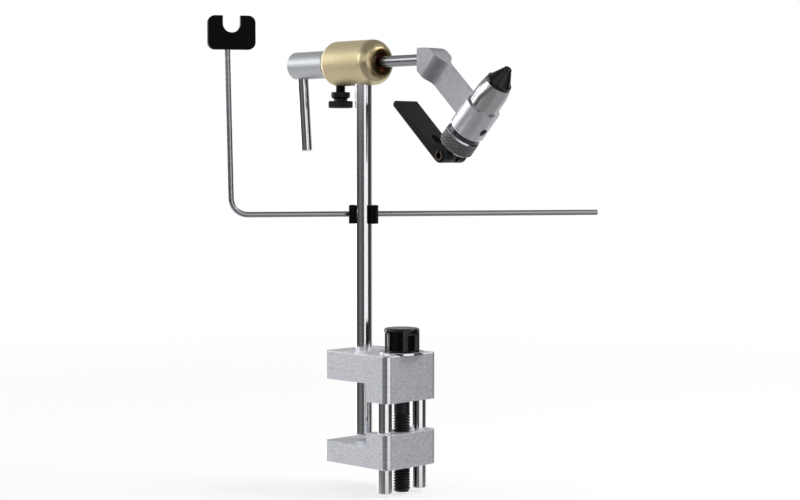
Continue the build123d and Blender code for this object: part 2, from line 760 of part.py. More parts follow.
# Drawbar: a round bar with a head under the jaws and a flat tail for the lever
tail_top = collar_low - cam_throw
with BuildPart() as drawbar:
    with BuildSketch(across_jaws(tail_top)):
        Circle(drawbar_dia / 2)
    extrude(amount=drawbar_top - tail_top)
    with BuildSketch(across_jaws(drawbar_top - drawbar_head_thick)):
        Circle(drawbar_head_dia / 2)
    extrude(amount=drawbar_head_thick)
    with BuildSketch(arm_plane):
        with Locations((collet_e, pin_n)):
            Circle(drawbar_tail_round)
        with Locations((collet_e, (pin_n + tail_top) / 2)):
            Rectangle(2 * drawbar_tail_round, tail_top - pin_n)
        with Locations((collet_e, pin_n)):
            Circle(pin_dia / 2 + press_gap, mode=Mode.SUBTRACT)
    extrude(amount=drawbar_dia / 2, both=True)
save(drawbar.part, "drawbar")

# Return spring round the drawbar, between the sleeve's floor and the drawbar's head
spring_low = sleeve_low + sleeve_floor + spring_wire / 2 + face_gap
spring_high = drawbar_top - drawbar_head_thick - spring_wire / 2 - face_gap
spring_radius = (sleeve_bore + drawbar_dia) / 4
spring_pitch = (spring_high - spring_low) / spring_turns
with BuildPart() as return_spring:
    with BuildLine() as spring_path:
        Helix(
            spring_pitch,
            spring_high - spring_low,
            spring_radius,
            center=arm_plane.from_local_coords((collet_e, spring_low, 0)),
            direction=up_jaws,
        )
    with BuildSketch(Plane(spring_path.line @ 0, z_dir=spring_path.line % 0)):
        Circle(spring_wire / 2)
    sweep(is_frenet=True)
print(f"return spring gap between turns {spring_pitch - spring_wire:.2f} mm")
save(return_spring.part, "return_spring")

# Slotted spring pin through the lever and the drawbar
with BuildPart() as pivot_pin:
    with BuildSketch(arm_plane):
        with Locations((collet_e, pin_n)):
            Circle(pin_dia / 2)
            Circle(pin_dia / 2 - pin_wall, mode=Mode.SUBTRACT)
        with Locations((collet_e, pin_n)):
            with PolarLocations(pin_dia / 2, 1, start_angle=pin_clock):
                Rectangle(pin_dia, pin_slot, mode=Mode.SUBTRACT)
    extrude(amount=lever_width / 2 + pin_show, both=True)
save(pivot_pin.part, "pivot_pin")

# Cam lever: a flat handle with two cam cheeks that straddle the drawbar's tail
cam_e = collet_e - cam_throw * sin(radians(cam_phase))
cam_n = pin_n + cam_throw * cos(radians(cam_phase))
lever_low = pin_n - lever_pin_inset
lever_tip = collet_e - lever_length
fork_gap = drawbar_dia / 2 + face_gap
fork_root = collet_e - fork_reach
with BuildPart() as cam_lever:
    with BuildSketch(arm_plane):
        with Locations(((lever_tip + cam_e) / 2, lever_low + lever_thick / 2)):
            Rectangle(cam_e - lever_tip, lever_thick)
        with Locations((cam_e, cam_n)):
            Circle(cam_dia / 2)
    extrude(amount=lever_width / 2, both=True)
    tip_edges = cam_lever.edges().filter_by(Axis.Y).sort_by(Axis(arm_plane.origin, along_arm))[:2]
    fillet(tip_edges, lever_corner)
    with BuildSketch(arm_plane):
        with Locations((fork_root + lever_length / 2, cam_n)):
            Rectangle(lever_length, lever_length)
    extrude(amount=fork_gap, both=True, mode=Mode.SUBTRACT)
    slot_end = arm_plane.from_local_coords((fork_root, lever_low, 0))
    with BuildSketch(Plane(slot_end, x_dir=(0, 1, 0), z_dir=up_jaws)):
        Circle(fork_gap)
    extrude(amount=lever_thick, mode=Mode.SUBTRACT)
    with BuildSketch(arm_plane):
        with Locations((collet_e, pin_n)):
            Circle(pin_dia / 2 + running_gap)
    extrude(amount=lever_width, both=True, mode=Mode.SUBTRACT)
save(cam_lever.part, "cam_lever")
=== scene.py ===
import math

import bmesh
import bpy
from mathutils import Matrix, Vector


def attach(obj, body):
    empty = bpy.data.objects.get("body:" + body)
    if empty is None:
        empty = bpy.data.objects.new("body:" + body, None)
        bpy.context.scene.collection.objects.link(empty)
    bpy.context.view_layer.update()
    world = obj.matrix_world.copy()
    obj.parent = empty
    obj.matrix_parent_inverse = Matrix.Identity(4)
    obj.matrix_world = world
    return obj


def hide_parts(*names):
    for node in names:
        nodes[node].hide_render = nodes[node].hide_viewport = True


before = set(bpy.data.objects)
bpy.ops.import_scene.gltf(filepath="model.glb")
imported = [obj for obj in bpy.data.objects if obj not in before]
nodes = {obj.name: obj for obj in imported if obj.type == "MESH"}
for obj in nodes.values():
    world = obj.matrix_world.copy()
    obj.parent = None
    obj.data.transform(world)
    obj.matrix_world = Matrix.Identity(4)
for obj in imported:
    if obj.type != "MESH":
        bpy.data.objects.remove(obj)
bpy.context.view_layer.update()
mm = 0.001
right, up = Vector((1, 0, 0)), Vector((0, 0, 1))


# Small helpers

def hexColour(code):
    channels = [int(code[i:i + 2], 16) / 255 for i in (1, 3, 5)]
    linear = [c / 12.92 if c <= 0.04045 else ((c + 0.055) / 1.055) ** 2.4 for c in channels]
    return (*linear, 1.0)


def addObject(name, data):
    item = bpy.data.objects.new(name, data)
    bpy.context.scene.collection.objects.link(item)
    return item


def addNode(tree, kind, settings=None, links=None):
    node = tree.nodes.new(kind)
    for key, value in (settings or {}).items():
        if isinstance(key, int) or key in node.inputs:
            node.inputs[key].default_value = value
        else:
            setattr(node, key, value)
    for key, source in (links or {}).items():
        tree.links.new(source, node.inputs[key])
    return node


def emptyMaterial(name):
    material = bpy.data.materials.new(name)
    material.use_nodes = True
    material.node_tree.nodes.clear()
    return material, material.node_tree


def newMaterial(name, surface):
    material, tree = emptyMaterial(name)
    shader = addNode(tree, "ShaderNodeBsdfPrincipled", surface)
    addNode(tree, "ShaderNodeOutputMaterial", links={"Surface": shader.outputs[0]})
    place = addNode(tree, "ShaderNodeTexCoord").outputs["Object"]
    return material, tree, shader, place


def colourBetween(tree, shader, factor, low, high, lowAt=0.3, highAt=0.7):
    ramp = addNode(tree, "ShaderNodeValToRGB", links={"Fac": factor})
    ramp.color_ramp.elements[0].position = lowAt
    ramp.color_ramp.elements[0].color = hexColour(low)
    ramp.color_ramp.elements[1].position = highAt
    ramp.color_ramp.elements[1].color = hexColour(high)
    tree.links.new(ramp.outputs["Color"], shader.inputs["Base Color"])
    return ramp.outputs["Color"]


def roughBetween(tree, shader, factor, low, high):
    spread = addNode(tree, "ShaderNodeMapRange", {"To Min": low, "To Max": high}, {"Value": factor})
    tree.links.new(spread.outputs["Result"], shader.inputs["Roughness"])
    return spread.outputs["Result"]


def bumpFrom(tree, shader, height, depth, strength):
    bump = addNode(tree, "ShaderNodeBump", {"Strength": strength, "Distance": depth},
                   {"Height": height})
    tree.links.new(bump.outputs["Normal"], shader.inputs["Normal"])


# Directions of the slanted jaw arm: e runs down the arm, n runs up the hook jaws

jawFrame = {"tilt": 47.0, "axisHeight": 179.1, "colletE": 85.0}
tilt = math.radians(jawFrame["tilt"])
alongArm = Vector((math.sin(tilt), 0, -math.cos(tilt)))
upJaws = Vector((math.cos(tilt), 0, math.sin(tilt)))
headCentre = up * jawFrame["axisHeight"]


def onCollet(n):
    return headCentre + alongArm * jawFrame["colletE"] + upJaws * n


def fromCollet(tree, place):
    # distance from the collet's axis, in metres
    away = addNode(tree, "ShaderNodeVectorMath",
                   {"operation": "SUBTRACT", 1: tuple(onCollet(0) * mm)}, {0: place})
    lever = addNode(tree, "ShaderNodeVectorMath",
                    {"operation": "CROSS_PRODUCT", 1: tuple(upJaws)}, {0: away.outputs[0]})
    span = addNode(tree, "ShaderNodeVectorMath", {"operation": "LENGTH"}, {0: lever.outputs[0]})
    return span.outputs["Value"]


# Materials: pattern sizes are real millimetres, and rings and mottle finer than a pixel are
# drawn as coarse as they need to be to show

def makeTumbledAluminium():
    # machined aluminium, tumbled: matt grey with a fine mottle and long hair scratches
    mottleSize, grainSize, hairSize = 1.1 * mm, 0.35 * mm, 1.2 * mm
    hairStretch = (0.12, 0.12, 3.0)
    surface = {"Metallic": 0.85, "Roughness": 0.5}
    material, tree, shader, place = newMaterial("tumbledAluminium", surface)
    cloud = addNode(tree, "ShaderNodeTexNoise",
                    {"Scale": 1 / mottleSize, "Detail": 6.0, "Roughness": 0.7}, {"Vector": place})
    grain = addNode(tree, "ShaderNodeTexNoise",
                    {"Scale": 1 / grainSize, "Detail": 2.0}, {"Vector": place})
    flat = addNode(tree, "ShaderNodeVectorMath",
                   {"operation": "MULTIPLY", 1: hairStretch}, {0: place})
    hair = addNode(tree, "ShaderNodeTexNoise",
                   {"Scale": 1 / hairSize, "Detail": 3.0}, {"Vector": flat.outputs[0]})
    scratch = addNode(tree, "ShaderNodeMapRange",
                      {"From Min": 0.6, "From Max": 0.7, "To Max": 0.26},
                      {"Value": hair.outputs["Fac"]})
    worn = addNode(tree, "ShaderNodeMath", {"operation": "SUBTRACT"},
                   {0: cloud.outputs["Fac"], 1: scratch.outputs["Result"]})
    colourBetween(tree, shader, worn.outputs[0], "#AEB1B9", "#FAFBFF", 0.22, 0.74)
    roughBetween(tree, shader, worn.outputs[0], 0.54, 0.38)
    bumpFrom(tree, shader, grain.outputs["Fac"], 0.03 * mm, 0.5)
    return material


def makeBlastedAluminium():
    # milled aluminium, then vapour blasted: an even satin that rounds off every highlight,
    # smoother on the turned boss, which ends at these distances from its axis; the boss is also
    # painted paler there as painted light
    bossEdge = {"From Min": 10.1 * mm, "From Max": 10.8 * mm}
    bossRough, bossPaintedLight = 0.72, 1.7
    cloudSize, grainSize = 3.0 * mm, 0.3 * mm
    surface = {"Metallic": 1.0, "Roughness": 0.42}
    material, tree, shader, place = newMaterial("blastedAluminium", surface)
    cloud = addNode(tree, "ShaderNodeTexNoise",
                    {"Scale": 1 / cloudSize, "Detail": 4.0}, {"Vector": place})
    grain = addNode(tree, "ShaderNodeTexNoise",
                    {"Scale": 1 / grainSize, "Detail": 2.0}, {"Vector": place})
    blasted = colourBetween(tree, shader, cloud.outputs["Fac"], "#939499", "#9FA0A5")
    satin = roughBetween(tree, shader, grain.outputs["Fac"], 0.46, 0.54)
    away = fromCollet(tree, place)
    turned = addNode(tree, "ShaderNodeMapRange",
                     {**bossEdge, "To Min": bossRough, "To Max": 1.0}, {"Value": away})
    shine = addNode(tree, "ShaderNodeMath", {"operation": "MULTIPLY"},
                    {0: satin, 1: turned.outputs["Result"]})
    tree.links.new(shine.outputs[0], shader.inputs["Roughness"])
    # painted light: the boss's colour is raised to stand in for the light it catches
    bossLightening = addNode(tree, "ShaderNodeMapRange",
                   {**bossEdge, "To Min": bossPaintedLight, "To Max": 1.0}, {"Value": away})
    tone = addNode(tree, "ShaderNodeVectorMath", {"operation": "SCALE"},
                   {0: blasted, "Scale": bossLightening.outputs["Result"]})
    tree.links.new(tone.outputs[0], shader.inputs["Base Color"])
    bumpFrom(tree, shader, grain.outputs["Fac"], 0.008 * mm, 0.4)
    return material


mixShare, mixFirst, mixSecond, mixColour = 0, 6, 7, 2  # sockets of a Mix node that mixes colours


def makeTurned(name, low, high, direction, ringGap, rough, depth,
               lathe=None, polish=None, stainAndShade=None):
    # lathe-turned metal: fine rings across the axis that stretch each highlight into a band
    surface = {"Metallic": 1.0, "Roughness": rough[0], "Anisotropic": 0.6 if lathe else 0.0}
    material, tree, shader, place = newMaterial(name, surface)
    if lathe:
        around = addNode(tree, "ShaderNodeTangent", {"direction_type": "RADIAL", "axis": lathe})
        tree.links.new(around.outputs[0], shader.inputs["Tangent"])
    along = addNode(tree, "ShaderNodeVectorMath",
                    {"operation": "DOT_PRODUCT", 1: direction}, {0: place})
    rings = addNode(tree, "ShaderNodeTexNoise",
                    {"noise_dimensions": "1D", "Scale": 1 / (ringGap * mm), "Detail": 3.0},
                    {"W": along.outputs["Value"]})
    tone = colourBetween(tree, shader, rings.outputs["Fac"], low, high)
    spread = roughBetween(tree, shader, rings.outputs["Fac"], rough[0], rough[1])
    if stainAndShade:
        # oil from the bearing soils the metal, and painted shade stands in for the dark that the
        # polished front face mirrors and dulls the lamp's highlight there; together they darken the
        # metal from here on, with an uneven edge
        start, end, colour = stainAndShade
        blotSize, swing = 2.5 * mm, 1.0 * mm
        blot = addNode(tree, "ShaderNodeTexNoise",
                       {"Scale": 1 / blotSize, "Detail": 3.0}, {"Vector": place})
        uneven = addNode(tree, "ShaderNodeMath",
                         {"operation": "MULTIPLY_ADD", 1: swing, 2: -swing / 2},
                         {0: blot.outputs["Fac"]})
        edge = addNode(tree, "ShaderNodeMath", {"operation": "ADD"},
                       {0: along.outputs["Value"], 1: uneven.outputs[0]})
        share = addNode(tree, "ShaderNodeMapRange",
                        {"From Min": start * mm, "From Max": end * mm}, {"Value": edge.outputs[0]})
        stainedAndShaded = addNode(tree, "ShaderNodeMix",
                        {"data_type": "RGBA", mixSecond: hexColour(colour)},
                        {mixShare: share.outputs["Result"], mixFirst: tone})
        tree.links.new(stainedAndShaded.outputs[mixColour], shader.inputs["Base Color"])
    if polish:
        # from here on the piece is polished after turning
        start, end, share = polish
        fade = addNode(tree, "ShaderNodeMapRange",
                       {"From Min": start * mm, "From Max": end * mm, "To Min": 1.0,
                        "To Max": share}, {"Value": along.outputs["Value"]})
        shine = addNode(tree, "ShaderNodeMath", {"operation": "MULTIPLY"},
                        {0: spread, 1: fade.outputs["Result"]})
        tree.links.new(shine.outputs[0], shader.inputs["Roughness"])
    bumpFrom(tree, shader, rings.outputs["Fac"], depth * mm, 0.35)
    return material


def makeKnurled():
    # knurled steel: painted shade darkens the grooves, which are told apart from the crests by the
    # distance from the collet's axis
    grooveRadius, crestRadius = 9.5 * mm, 9.85 * mm
    surface = {"Metallic": 1.0, "Roughness": 0.34}
    material, tree, shader, place = newMaterial("knurledSteel", surface)
    crest = addNode(tree, "ShaderNodeMapRange",
                    {"From Min": grooveRadius, "From Max": crestRadius},
                    {"Value": fromCollet(tree, place)})
    # painted shade: dark in the grooves, light on the crests
    colourBetween(tree, shader, crest.outputs["Result"], "#232426", "#8E8F92", 0.25, 0.95)
    roughBetween(tree, shader, crest.outputs["Result"], 0.5, 0.3)
    return material


def makePolishedSteel():
    # ground and polished stainless bar: near mirror, with faint uneven polish
    markSize = 1.2 * mm
    surface = {"Metallic": 1.0, "Roughness": 0.12}
    material, tree, shader, place = newMaterial("polishedSteel", surface)
    marks = addNode(tree, "ShaderNodeTexNoise",
                    {"Scale": 1 / markSize, "Detail": 4.0}, {"Vector": place})
    colourBetween(tree, shader, marks.outputs["Fac"], "#C8C8CB", "#D4D4D7")
    roughBetween(tree, shader, marks.outputs["Fac"], 0.125, 0.135)
    return material


def makeBronze():
    # sintered bronze: warm red-brown with dark open pores
    poreSize = 0.5 * mm
    surface = {"Metallic": 1.0, "Roughness": 0.42}
    material, tree, shader, place = newMaterial("sinteredBronze", surface)
    pores = addNode(tree, "ShaderNodeTexNoise",
                    {"Scale": 1 / poreSize, "Detail": 3.0}, {"Vector": place})
    colourBetween(tree, shader, pores.outputs["Fac"], "#34180E", "#5C2E1A")
    roughBetween(tree, shader, pores.outputs["Fac"], 0.35, 0.55)
    return material


def makeBlack(name, low, high, rough, grain, depth, gloss=0.3, metallic=0.0):
    # blackened, anodised or moulded black: a slightly uneven dark skin that mostly shows its
    # highlights
    surface = {"Metallic": metallic, "Roughness": rough[0], "Specular IOR Level": gloss}
    material, tree, shader, place = newMaterial(name, surface)
    skin = addNode(tree, "ShaderNodeTexNoise",
                   {"Scale": 1 / (grain * mm), "Detail": 4.0}, {"Vector": place})
    colourBetween(tree, shader, skin.outputs["Fac"], low, high)
    roughBetween(tree, shader, skin.outputs["Fac"], rough[0], rough[1])
    bumpFrom(tree, shader, skin.outputs["Fac"], depth * mm, 0.4)
    return material


def makeNylon():
    # machined nylon: milky white, faintly translucent, with soft tool marks
    markSize, bleed = 0.8 * mm, 1.0 * mm
    surface = {"Roughness": 0.45, "Subsurface Weight": 0.15, "Subsurface Radius": (bleed,) * 3}
    material, tree, shader, place = newMaterial("machinedNylon", surface)
    marks = addNode(tree, "ShaderNodeTexNoise",
                    {"Scale": 1 / markSize, "Detail": 2.0}, {"Vector": place})
    colourBetween(tree, shader, marks.outputs["Fac"], "#F6F6F4", "#FFFFFE")
    roughBetween(tree, shader, marks.outputs["Fac"], 0.38, 0.52)
    return material


alongX, alongY, alongZ = (1, 0, 0), (0, 1, 0), (0, 0, 1)
alongJaws = tuple(upJaws)
tumbledAluminium = makeTumbledAluminium()
blastedAluminium = makeBlastedAluminium()
turnedAluminium = makeTurned(
    "turnedAluminium", "#A6A8AB", "#B6B8BB", alongX, 0.5, (0.36, 0.48), 0.012, lathe="X")
# the housing's front face is darkened partly by oily dirt and partly by painted shade
turnedBrass = makeTurned(
    "turnedBrass", "#B5A886", "#CCBF9B", alongX, 0.6, (0.4, 0.5), 0.012, lathe="X",
    polish=(6.0, 12.0, 0.55), stainAndShade=(13.5, 14.7, "#66563A"))
turnedSteel = makeTurned(
    "turnedSteel", "#ACADB0", "#B8B9BC", alongJaws, 0.5, (0.19, 0.23), 0.002)
polishedSteel = makePolishedSteel()
sinteredBronze = makeBronze()
springSteel = makeTurned(
    "drawnSpringSteel", "#3C3530", "#5A5048", alongY, 0.8, (0.28, 0.4), 0.01)
groundSteel = makeTurned(
    "groundSteelRod", "#85868A", "#939498", alongZ, 2.5, (0.24, 0.27), 0.001)
blackOxide = makeBlack(
    "blackOxideSteel", "#151618", "#26272A", (0.32, 0.46), 0.6, 0.008, metallic=0.5)
blackToolSteel = makeBlack(
    "polishedBlackToolSteel", "#060608", "#0C0C0F", (0.14, 0.22), 1.5, 0.004)
knurledSteel = makeKnurled()
bluedSteel = makeTurned(
    "turnedBluedSteel", "#3A3B3E", "#57585B", alongJaws, 0.4, (0.2, 0.3), 0.01)
blackAnodised = makeBlack(
    "blackAnodisedAluminium", "#08080A", "#0E0F11", (0.36, 0.48), 0.5, 0.008, gloss=0.13)
burnishedCorner = makeTurned(
    "burnishedAluminium", "#C2C4C9", "#D2D4D9", alongZ, 1.5, (0.2, 0.28), 0.004)
wornEdge = makeBlack(
    "wornAnodisedEdge", "#1E1F21", "#303235", (0.3, 0.42), 0.4, 0.006)
glossPlastic = makeBlack(
    "glossMouldedPlastic", "#020203", "#050506", (0.07, 0.12), 2.5, 0.004)
mattePlastic = makeBlack(
    "matteMouldedPlastic", "#040405", "#09090B", (0.34, 0.46), 0.4, 0.012, gloss=0.04)
machinedNylon = makeNylon()
print("materials made")

finishes = {
    "upper_jaw": tumbledAluminium, "lower_jaw": tumbledAluminium, "jaw_arm": blastedAluminium,
    "hub": turnedAluminium, "housing": turnedBrass,
    "front_bush": sinteredBronze, "rear_bush": sinteredBronze,
    "guide_rods": polishedSteel, "stem": polishedSteel, "crank_handle": polishedSteel,
    "knob_washer": polishedSteel, "cradle_rod": groundSteel, "spindle": groundSteel,
    "collet_sleeve": turnedSteel, "adjusting_collar": turnedSteel,
    "lock_ring": bluedSteel, "sleeve_set_screw": bluedSteel,
    "clamp_screw": blackOxide, "drag_screw": blackOxide, "drawbar": blackOxide,
    "stem_set_screw": blackOxide, "housing_set_screw": blackOxide,
    "hub_set_screw": blackOxide, "arm_set_screw": blackOxide,
    "jaw_front": blackToolSteel, "jaw_rear": blackToolSteel, "cam_lever": blackAnodised,
    "pivot_pin": springSteel, "return_spring": springSteel,
    "clamp_knob": glossPlastic, "rod_clip": mattePlastic, "bobbin_cradle": mattePlastic,
    "thrust_washer": machinedNylon, "friction_pad": machinedNylon,
}
for name, finish in finishes.items():
    nodes[name].data.materials.clear()
    nodes[name].data.materials.append(finish)


# Meshes

def finishPiece(mesh, name, body, replaced, materials, sharp=32):
    piece = addObject(name, mesh)
    mesh.materials.clear()
    for material in materials:
        mesh.materials.append(material)
    mesh.polygons.foreach_set("use_smooth", [True] * len(mesh.polygons))
    mesh.set_sharp_from_angle(angle=math.radians(sharp))
    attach(piece, body)
    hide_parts(*replaced)
    return piece


def turnedPiece(name, foot, axis, side, rings, segments, relief):
    # rings are (height, radius) in mm up the axis, and relief lowers the radius by height and by
    # angle from side
    other = axis.cross(side)
    build = bmesh.new()
    loops = []
    for height, radius in rings:
        loop = []
        for step in range(segments):
            angle = 2 * math.pi * step / segments
            reach = radius - relief(height, angle)
            outward = side * math.cos(angle) + other * math.sin(angle)
            loop.append(build.verts.new((foot + axis * height + outward * reach) * mm))
        loops.append(loop)
    for lower, upper in zip(loops, loops[1:]):
        for step in range(segments):
            after = (step + 1) % segments
            build.faces.new((lower[step], lower[after], upper[after], upper[step]))
    build.faces.new(list(reversed(loops[0])))
    build.faces.new(loops[-1])
    mesh = bpy.data.meshes.new(name)
    build.to_mesh(mesh)
    build.free()
    return mesh


def spaced(start, end, gap):
    count = max(1, round((end - start) / gap))
    return [start + (end - start) * i / count for i in range(count + 1)]


def threadRelief(start, end, pitch, depth):
    # a groove that winds up the axis, with a narrow crest and a narrow root
    steepness, crest = 1.25, 0.12

    def relief(height, angle):
        if height < start or height > end:
            return 0
        turn = (height / pitch - angle / (2 * math.pi)) % 1
        return depth * min(1, max(0, steepness * (1 - abs(2 * turn - 1)) - crest))
    return relief


deburr = {"weld": 0.001, "flat": 0.6, "segments": 2, "angle": 35}


def softEdged(node, name, body, materials, width, edgeSlot=-1, trim=None):
    # the CAD piece with its corners broken, as a deburred part has
    mesh = nodes[node].data.copy()
    mesh.name = name
    build = bmesh.new()
    build.from_mesh(mesh)
    bmesh.ops.remove_doubles(build, verts=build.verts, dist=deburr["weld"] * mm)
    if trim:
        trim(build)
    bmesh.ops.dissolve_limit(build, angle_limit=math.radians(deburr["flat"]),
                             verts=build.verts, edges=build.edges)
    build.to_mesh(mesh)
    build.free()
    piece = finishPiece(mesh, name, body, [node], materials)
    bevel = piece.modifiers.new("edge", "BEVEL")
    bevel.width = width * mm
    bevel.segments = deburr["segments"]
    bevel.limit_method = "ANGLE"
    bevel.angle_limit = math.radians(deburr["angle"])
    bevel.material = edgeSlot
    bevel.harden_normals = True
    return piece


# Clamp screw: a cut thread below, a plain shank above

screw = {"x": 30.75, "low": -61.7, "shankLow": -17.8, "top": 27.7, "threadRadius": 4.75,
         "shankRadius": 4.4, "pitch": 1.6, "depth": 0.8, "chamfer": 0.8, "runOut": 0.4,
         "ringStep": 0.2, "sides": 40}
hair = 0.01  # mm between two rings that make a sharp step
length = screw["shankLow"] - screw["low"]
rings = [(0, screw["threadRadius"] - screw["chamfer"])]
rings += [(h, screw["threadRadius"]) for h in spaced(screw["chamfer"], length, screw["ringStep"])]
rings += [(length + hair, screw["shankRadius"] - hair),
          (length + screw["runOut"], screw["shankRadius"]),
          (screw["top"] - screw["low"], screw["shankRadius"])]
mesh = turnedPiece("clampScrew", Vector((screw["x"], 0, screw["low"])), up, right, rings,
                   screw["sides"],
                   threadRelief(screw["chamfer"], length, screw["pitch"], screw["depth"]))
finishPiece(mesh, "clampScrewThreaded", "screw", ["clamp_screw"],
            [blackOxide], 40)

# Clamp knob: rounded crown, grip flutes that run out under it

knob = {"x": 30.75, "base": 17.3, "height": 13.0, "radius": 9.9, "crown": 2.2, "flutes": 3,
        "fluteRadius": 10.5, "fluteDepth": 2.4, "edge": 1.3, "edgeRings": 6, "runOut": 2.0,
        "foot": ((0, 0.35), (0.12, 0.1), (0.4, 0)), "sideLow": 0.8, "ringStep": 0.25, "sides": 180}


def knobRelief(height, angle):
    top = knob["height"] - knob["crown"]
    short = min(1, max(0, (top - height) / knob["runOut"]))
    fade = math.sqrt(1 - (1 - short) ** 2)
    step = 2 * math.pi / knob["flutes"]
    away = (angle + step / 2) % step - step / 2
    ring = knob["radius"] + knob["fluteRadius"] - knob["fluteDepth"]
    sideways = ring * math.sin(away)
    if abs(sideways) >= knob["fluteRadius"]:
        return 0
    inner = ring * math.cos(away) - math.sqrt(knob["fluteRadius"] ** 2 - sideways ** 2)
    return max(0, knob["radius"] - inner) * fade


rings = [(height, knob["radius"] - inset) for height, inset in knob["foot"]]
sideTop = knob["height"] - knob["edge"]
rings += [(h, knob["radius"]) for h in spaced(knob["sideLow"], sideTop, knob["ringStep"])]
for i in range(1, knob["edgeRings"] + 1):
    turn = math.pi / 2 * i / knob["edgeRings"]
    rings.append((knob["height"] - knob["edge"] * (1 - math.sin(turn)),
                  knob["radius"] - knob["edge"] * (1 - math.cos(turn))))
rings.append((knob["height"], knob["radius"] - knob["crown"]))
mesh = turnedPiece("clampKnob", Vector((knob["x"], 0, knob["base"])), up, right, rings,
                   knob["sides"], knobRelief)
finishPiece(mesh, "clampKnobFluted", "screw", ["clamp_knob"],
            [glossPlastic], 50)

# Drag thumb screw: thread, collar, waist and a straight-knurled head

drag = {"x": -19.0, "headLow": 153.8, "headThick": 4.0, "headRadius": 7.0, "neckRadius": 3.85,
        "neckLength": 2.2, "collarRadius": 5.45, "collarThick": 2.9, "threadRadius": 2.9,
        "tip": 174.125, "pitch": 1.0, "threadDepth": 0.5, "knurls": 48, "knurlDepth": 0.32,
        "knurlLow": 0.5, "knurlInset": 0.35, "ringStep": 0.14, "sides": 288}
headTop = drag["headThick"]
collarLow = headTop + drag["neckLength"]
collarTop = collarLow + drag["collarThick"]
threadLow = collarTop + 0.2
threadEnd = drag["tip"] - drag["headLow"]
dragThread = threadRelief(threadLow, threadEnd, drag["pitch"], drag["threadDepth"])


def dragRelief(height, angle):
    if drag["knurlLow"] < height < headTop - drag["knurlInset"]:
        return drag["knurlDepth"] * (0.5 + 0.5 * math.cos(drag["knurls"] * angle))
    return dragThread(height, angle)


headRadius, neckRadius, rimRadius = drag["headRadius"], drag["neckRadius"], drag["collarRadius"]
rings = [(0, headRadius - 0.7), (0.05, headRadius - 0.5), (0.5, headRadius - 0.02),
         (0.55, headRadius), (headTop - 0.4, headRadius), (headTop - 0.3, headRadius - 0.1),
         (headTop, headRadius - 0.4), (headTop + 0.05, neckRadius + 0.3),
         (headTop + 0.5, neckRadius), (headTop + 1.1, neckRadius),
         (collarLow - 0.3, rimRadius - 0.6), (collarLow, rimRadius - 0.1),
         (collarLow + 0.2, rimRadius), (collarTop - 0.2, rimRadius),
         (collarTop, rimRadius - 0.2), (collarTop + 0.02, drag["threadRadius"])]
rings += [(h, drag["threadRadius"]) for h in spaced(threadLow, threadEnd, drag["ringStep"])]
mesh = turnedPiece("dragScrew", Vector((drag["x"], 0, drag["headLow"])), up, right, rings,
                   drag["sides"], dragRelief)
finishPiece(mesh, "dragScrewKnurled", "drag", ["drag_screw"],
            [blackOxide], 40)

# Adjusting collar: diamond knurl between two smooth rims, bored for the drawbar

collar = {"low": 14.4, "length": 9.0, "radius": 9.85, "chamfer": 0.7, "rim": 0.8, "knurls": 54,
          "lead": 1.15, "depth": 0.32, "steepness": 1.6, "bore": 2.56, "lip": 0.01,
          "rimStep": 0.02, "ringStep": 0.14, "sides": 432, "weld": 0.0005}
knurlTop = collar["length"] - collar["rim"]


def collarRelief(height, angle):
    if not collar["rim"] < height < knurlTop:
        return 0
    turn = collar["knurls"] * angle / (2 * math.pi)
    one = abs(((turn + height / collar["lead"]) % 1) * 2 - 1)
    two = abs(((turn - height / collar["lead"]) % 1) * 2 - 1)
    return collar["depth"] * (1 - min(1, collar["steepness"] * min(one, two)))


radius, chamfer, lip = collar["radius"], collar["chamfer"], collar["lip"]
rings = [(lip, collar["bore"]), (0, radius - chamfer), (chamfer, radius),
         (collar["rim"] - collar["rimStep"], radius)]
rings += [(h, radius) for h in spaced(collar["rim"], knurlTop, collar["ringStep"])]
rings += [(knurlTop + collar["rimStep"], radius), (collar["length"] - chamfer, radius),
          (collar["length"], radius - chamfer), (collar["length"] - lip, collar["bore"]),
          (lip, collar["bore"])]
collarFoot = onCollet(collar["low"])
mesh = turnedPiece("adjustingCollar", collarFoot, upJaws, Vector((0, 1, 0)), rings,
                   collar["sides"], collarRelief)
build = bmesh.new()
build.from_mesh(mesh)
endCaps = [f for f in build.faces if len(f.verts) > 4]
bmesh.ops.delete(build, geom=endCaps, context="FACES_ONLY")
bmesh.ops.remove_doubles(build, verts=build.verts, dist=collar["weld"] * mm)
bmesh.ops.recalc_face_normals(build, faces=build.faces)
build.to_mesh(mesh)
build.free()
finishPiece(mesh, "adjustingCollarKnurled", "collar", ["adjusting_collar"],
            [turnedSteel, knurledSteel], 40)
for face in mesh.polygons:
    height = (face.center / mm - collarFoot).dot(upJaws)
    face.material_index = 1 if collar["rim"] < height < knurlTop else 0
print("turned pieces made")

# Rod clip: its left arm stops at the stem's side, so that the front of the bar shows

rodClip = {"armEnd": -122.0, "slack": 0.001}


def shortenArm(build):
    # armEnd is the bearing of the arm's end from +X, seen from above
    bearing = math.radians(rodClip["armEnd"])
    outward = Vector((math.cos(bearing), math.sin(bearing), 0))
    forward = Vector((-outward.y, outward.x, 0))
    slack = rodClip["slack"] * mm
    everything = build.verts[:] + build.edges[:] + build.faces[:]
    bmesh.ops.bisect_plane(build, geom=everything, plane_co=(0, 0, 0), plane_no=forward, dist=slack)
    tip = [v for v in build.verts if v.co.dot(forward) > slack and v.co.dot(outward) > 0]
    bmesh.ops.delete(build, geom=tip, context="VERTS")
    bmesh.ops.holes_fill(build, edges=[e for e in build.edges if e.is_boundary], sides=0)
    bmesh.ops.recalc_face_normals(build, faces=build.faces)


# Deburred pieces: name, body, slot, materials, and how far the edges are broken in mm

